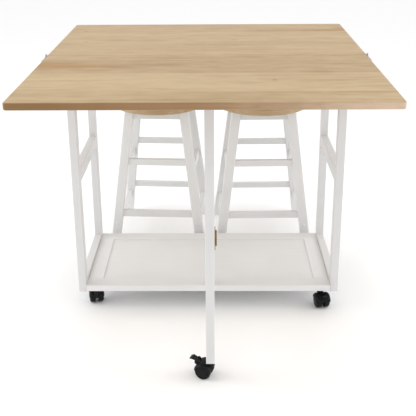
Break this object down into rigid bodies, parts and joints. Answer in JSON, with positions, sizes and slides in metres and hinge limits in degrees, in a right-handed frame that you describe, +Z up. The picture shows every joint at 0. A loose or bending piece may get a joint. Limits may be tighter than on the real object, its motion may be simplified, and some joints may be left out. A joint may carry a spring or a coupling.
{
  "type": "rolling kitchen table with stools",
  "caption": "Rolling kitchen cart table with an open storage shelf, a fold-over leaf on a gate leg, braked casters and matching round stools.",
  "frame": {"origin": "on the floor, under the middle of the whole set's box: table with the leaf up and stools behind it", "axes": "+Z up; +X to the right and +Y away from someone who stands at the leaf's side"},
  "size_m": [0.815, 1.1583, 0.7583],
  "materials": {
    "top_wood": "clear satin lacquer, pale oak boards",
    "seat_wood": "clear satin lacquer",
    "white_paint": "white satin paint on wood",
    "hinge_brass": "aged brass",
    "steel": "zinc plated",
    "caster_black": "moulded black nylon",
    "wheel_black": "moulded black nylon, smooth tread"
  },
  "bodies": {
    "cart": {"fixed_top": "top_wood", "front_left_post": "white_paint", "front_right_post": "white_paint", "back_left_post": "white_paint", "back_right_post": "white_paint", "left_top_rail": "white_paint", "right_top_rail": "white_paint", "left_middle_rail": "white_paint", "right_middle_rail": "white_paint", "left_bottom_rail": "white_paint", "right_bottom_rail": "white_paint", "front_top_rail": "white_paint", "back_top_rail": "white_paint", "shelf_front_rail": "white_paint", "shelf_back_rail": "white_paint", "shelf_left_stile": "white_paint", "shelf_right_stile": "white_paint", "shelf_panel": "white_paint", "hinge_post": "white_paint", "caster_plates": "steel", "leaf_hinge_plates": "steel", "gate_hinge_plates": "hinge_brass"},
    "leaf": {"folding_leaf": "top_wood", "leaf_hinge_arms": "steel"},
    "gate": {"gate_leg": "white_paint", "gate_stile": "white_paint", "gate_top_rail": "white_paint", "gate_bottom_rail": "white_paint", "gate_hinge_leaves": "hinge_brass", "gate_hinge_pins": "hinge_brass", "gate_caster_stem": "steel"},
    "gate_caster": {"gate_caster_hood": "caster_black", "gate_caster_axle": "steel"},
    "gate_wheels": {"gate_caster_wheels": "wheel_black"},
    "gate_brake": {"gate_caster_brake_lever": "caster_black"},
    "front_left_caster": {"front_left_caster_hood": "caster_black", "front_left_caster_axle": "steel"},
    "front_left_wheels": {"front_left_caster_wheels": "wheel_black"},
    "front_left_brake": {"front_left_caster_brake_lever": "caster_black"},
    "front_right_caster": {"front_right_caster_hood": "caster_black", "front_right_caster_axle": "steel"},
    "front_right_wheels": {"front_right_caster_wheels": "wheel_black"},
    "front_right_brake": {"front_right_caster_brake_lever": "caster_black"},
    "back_left_caster": {"back_left_caster_hood": "caster_black", "back_left_caster_axle": "steel"},
    "back_left_wheels": {"back_left_caster_wheels": "wheel_black"},
    "back_right_caster": {"back_right_caster_hood": "caster_black", "back_right_caster_axle": "steel"},
    "back_right_wheels": {"back_right_caster_wheels": "wheel_black"},
    "left_stool": {"left_stool_seat": "seat_wood", "left_stool_legs": "white_paint", "left_stool_aprons": "white_paint", "left_stool_front_and_back_rungs": "white_paint", "left_stool_side_rungs": "white_paint"},
    "right_stool": {"right_stool_seat": "seat_wood", "right_stool_legs": "white_paint", "right_stool_aprons": "white_paint", "right_stool_front_and_back_rungs": "white_paint", "right_stool_side_rungs": "white_paint"}
  },
  "joints": [
    {"name": "leaf_fold", "type": "hinge", "parent": "cart", "child": "leaf", "pos_m": [0, -0.14745, 0.7553], "axis": [-1, 0, 0], "range_deg": [0, 180]},
    {"name": "gate_swing", "type": "hinge", "parent": "cart", "child": "gate", "pos_m": [0.0224, -0.1174, 0], "axis": [0, 0, 1], "range_deg": [0, 80]},
    {"name": "gate_caster_swivel", "type": "hinge", "parent": "gate", "child": "gate_caster", "pos_m": [0.0084, -0.4302, 0.0465], "axis": [0, 0, 1], "continuous": true},
    {"name": "gate_caster_roll", "type": "hinge", "parent": "gate_caster", "child": "gate_wheels", "pos_m": [-0.00664, -0.42473, 0.0205], "axis": [-0.342, -0.9397, 0], "continuous": true},
    {"name": "gate_brake_tip", "type": "hinge", "parent": "gate_caster", "child": "gate_brake", "pos_m": [-0.02299, -0.41877, 0.0413], "axis": [-0.342, -0.9397, 0], "range_deg": [-20, 0]},
    {"name": "front_left_caster_swivel", "type": "hinge", "parent": "cart", "child": "front_left_caster", "pos_m": [-0.325, -0.0842, 0.0465], "axis": [0, 0, 1], "continuous": true},
    {"name": "front_left_caster_roll", "type": "hinge", "parent": "front_left_caster", "child": "front_left_wheels", "pos_m": [-0.32914, -0.06874, 0.0205], "axis": [-0.9659, -0.2588, 0], "continuous": true},
    {"name": "front_left_brake_tip", "type": "hinge", "parent": "front_left_caster", "child": "front_left_brake", "pos_m": [-0.33364, -0.05194, 0.0413], "axis": [-0.9659, -0.2588, 0], "range_deg": [-20, 0]},
    {"name": "front_right_caster_swivel", "type": "hinge", "parent": "cart", "child": "front_right_caster", "pos_m": [0.325, -0.0842, 0.0465], "axis": [0, 0, 1], "continuous": true},
    {"name": "front_right_caster_roll", "type": "hinge", "parent": "front_right_caster", "child": "front_right_wheels", "pos_m": [0.32778, -0.09996, 0.0205], "axis": [0.9848, 0.1736, 0], "continuous": true},
    {"name": "front_right_brake_tip", "type": "hinge", "parent": "front_right_caster", "child": "front_right_brake", "pos_m": [0.3308, -0.11709, 0.0413], "axis": [0.9848, 0.1736, 0], "range_deg": [-20, 0]},
    {"name": "back_left_caster_swivel", "type": "hinge", "parent": "cart", "child": "back_left_caster", "pos_m": [-0.325, 0.1898, 0.0465], "axis": [0, 0, 1], "continuous": true},
    {"name": "back_left_caster_roll", "type": "hinge", "parent": "back_left_caster", "child": "back_left_wheels", "pos_m": [-0.317, 0.20366, 0.0205], "axis": [-0.866, 0.5, 0], "continuous": true},
    {"name": "back_right_caster_swivel", "type": "hinge", "parent": "cart", "child": "back_right_caster", "pos_m": [0.325, 0.1898, 0.0465], "axis": [0, 0, 1], "continuous": true},
    {"name": "back_right_caster_roll", "type": "hinge", "parent": "back_right_caster", "child": "back_right_wheels", "pos_m": [0.317, 0.20366, 0.0205], "axis": [-0.866, -0.5, 0], "continuous": true},
    {"name": "left_stool_pull", "type": "slide", "parent": "cart", "child": "left_stool", "axis": [0, 1, 0], "range_m": [0, 0.3]},
    {"name": "right_stool_pull", "type": "slide", "parent": "cart", "child": "right_stool", "axis": [0, 1, 0], "range_m": [0, 0.3]}
  ]
}
